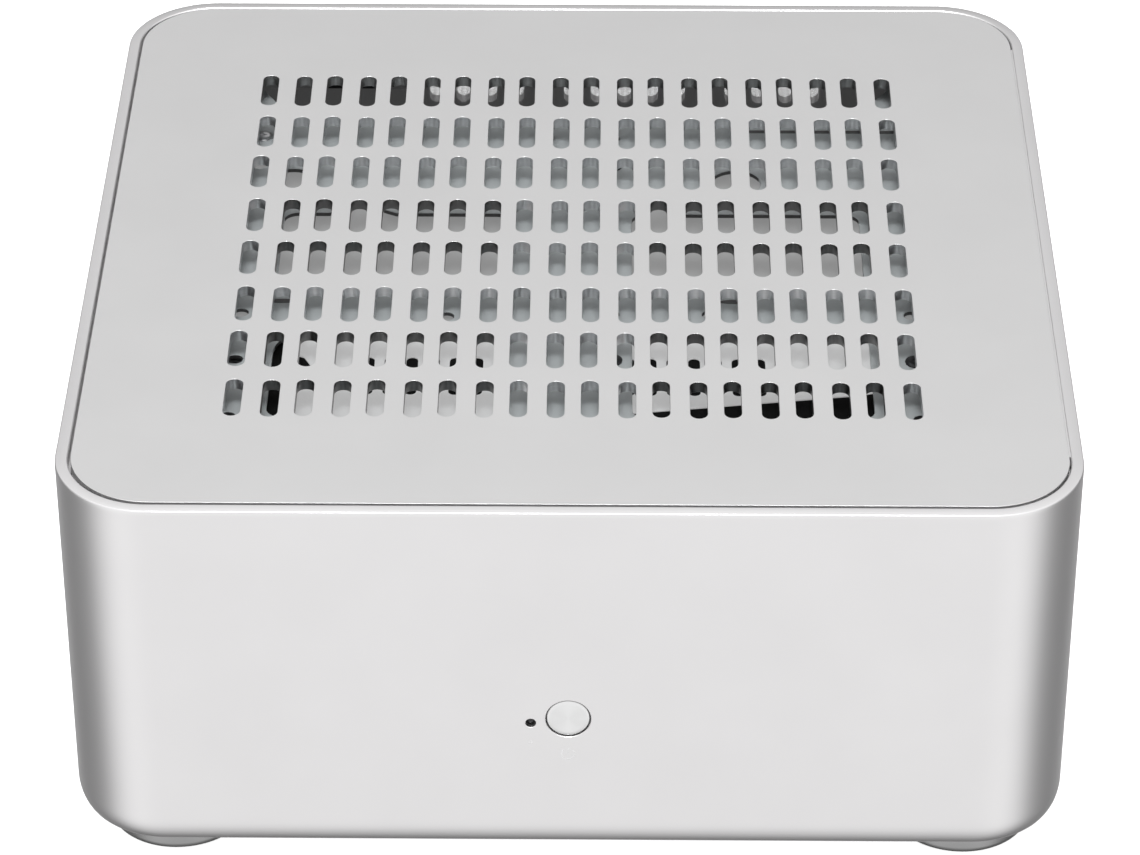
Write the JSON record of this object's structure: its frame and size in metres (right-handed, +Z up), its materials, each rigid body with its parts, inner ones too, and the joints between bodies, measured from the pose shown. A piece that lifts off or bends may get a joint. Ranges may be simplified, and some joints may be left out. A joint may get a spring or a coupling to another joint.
{
  "type": "desktop computer tower",
  "caption": "Small square desktop computer in a rounded silver aluminium case with a slotted lift-off top, a front power button, rear connectors and low round feet.",
  "frame": {"origin": "centre of the footprint, on the surface the feet stand on", "axes": "+Z up; the front, with the power button, faces -Y; +X is to the right seen from the front"},
  "size_m": [0.2, 0.2, 0.09],
  "materials": {
    "case_shell": "satin anodised, bead blasted",
    "top_cover": "satin anodised, bead blasted",
    "base_plate": "satin anodised",
    "power_button": "spun concentric finish, anodised",
    "foot": "satin anodised, turned",
    "foot_pad": "matt, moulded",
    "tray": "rolled sheet, satin",
    "heat_spreader": "stamped sheet, satin",
    "drive_case": "pressed sheet, satin",
    "steel_fastener": "zinc plated",
    "spring_steel": "drawn wire",
    "brass_standoff": "turned",
    "circuit_board": "solder mask over glass laminate",
    "processor": "nickel plated lid on a green substrate",
    "connector_shield": "stamped sheet",
    "port_shell": "folded tin plated sheet with dark inserts",
    "black_plastic": "moulded",
    "socket_plastic": "moulded",
    "heatsink": "extruded, clear",
    "fan_plastic": "moulded",
    "battery": "polished can",
    "light_lens": "clear lens",
    "cable_jacket": "extruded jacket"
  },
  "bodies": {
    "case": {"audio_jacks": "black_plastic", "base_plate": "base_plate", "base_screw_back_left": "steel_fastener", "base_screw_back_right": "steel_fastener", "base_screw_front_left": "steel_fastener", "base_screw_front_right": "steel_fastener", "board_battery": "battery", "board_screw_back_left": "steel_fastener", "board_screw_back_right": "steel_fastener", "board_screw_front_left": "steel_fastener", "board_screw_front_right": "steel_fastener", "button_spring": "spring_steel", "chipset_heatsink": "heatsink", "cpu_socket": "socket_plastic", "dc_jack": "black_plastic", "dc_lead": "cable_jacket", "dc_power_board": "circuit_board", "drive_left": "drive_case", "drive_right": "drive_case", "drive_tray": "tray", "fan_cable": "cable_jacket", "fan_frame": "fan_plastic", "foot_back_left": "foot", "foot_back_right": "foot", "foot_front_left": "foot", "foot_front_right": "foot", "foot_pad_back_left": "foot_pad", "foot_pad_back_right": "foot_pad", "foot_pad_front_left": "foot_pad", "foot_pad_front_right": "foot_pad", "front_panel_cable": "cable_jacket", "heat_spreader_left": "heat_spreader", "heat_spreader_right": "heat_spreader", "heatsink": "heatsink", "io_shield": "connector_shield", "memory_module": "circuit_board", "memory_slot": "socket_plastic", "motherboard": "circuit_board", "network_usb_ports": "port_shell", "power_connector": "socket_plastic", "processor": "processor", "sata_cable_left": "cable_jacket", "sata_cable_right": "cable_jacket", "shell": "case_shell", "standoff_back_left": "brass_standoff", "standoff_back_right": "brass_standoff", "standoff_front_left": "brass_standoff", "standoff_front_right": "brass_standoff", "status_light": "light_lens", "switch_board": "circuit_board", "tray_stud_back_left": "steel_fastener", "tray_stud_back_right": "steel_fastener", "tray_stud_front_left": "steel_fastener", "tray_stud_front_right": "steel_fastener", "usb_ports": "port_shell", "video_ports": "port_shell"},
    "cover": {"top_cover": "top_cover"},
    "rotor": {"fan_rotor": "fan_plastic"},
    "button": {"power_button": "power_button"}
  },
  "joints": [
    {"name": "cover_lift", "type": "slide", "parent": "case", "child": "cover", "axis": [0, 0, 1], "range_m": [0, 0.06]},
    {"name": "fan_spin", "type": "hinge", "parent": "case", "child": "rotor", "pos_m": [-0.008, 0.02, 0.0592], "axis": [0, 0, 1], "continuous": true},
    {"name": "button_press", "type": "slide", "parent": "case", "child": "button", "axis": [0, 1, 0], "range_m": [0, 0.0012], "stiffness_N_per_m": 300, "springref_m": -0.001, "deforming": ["button_spring"]}
  ]
}
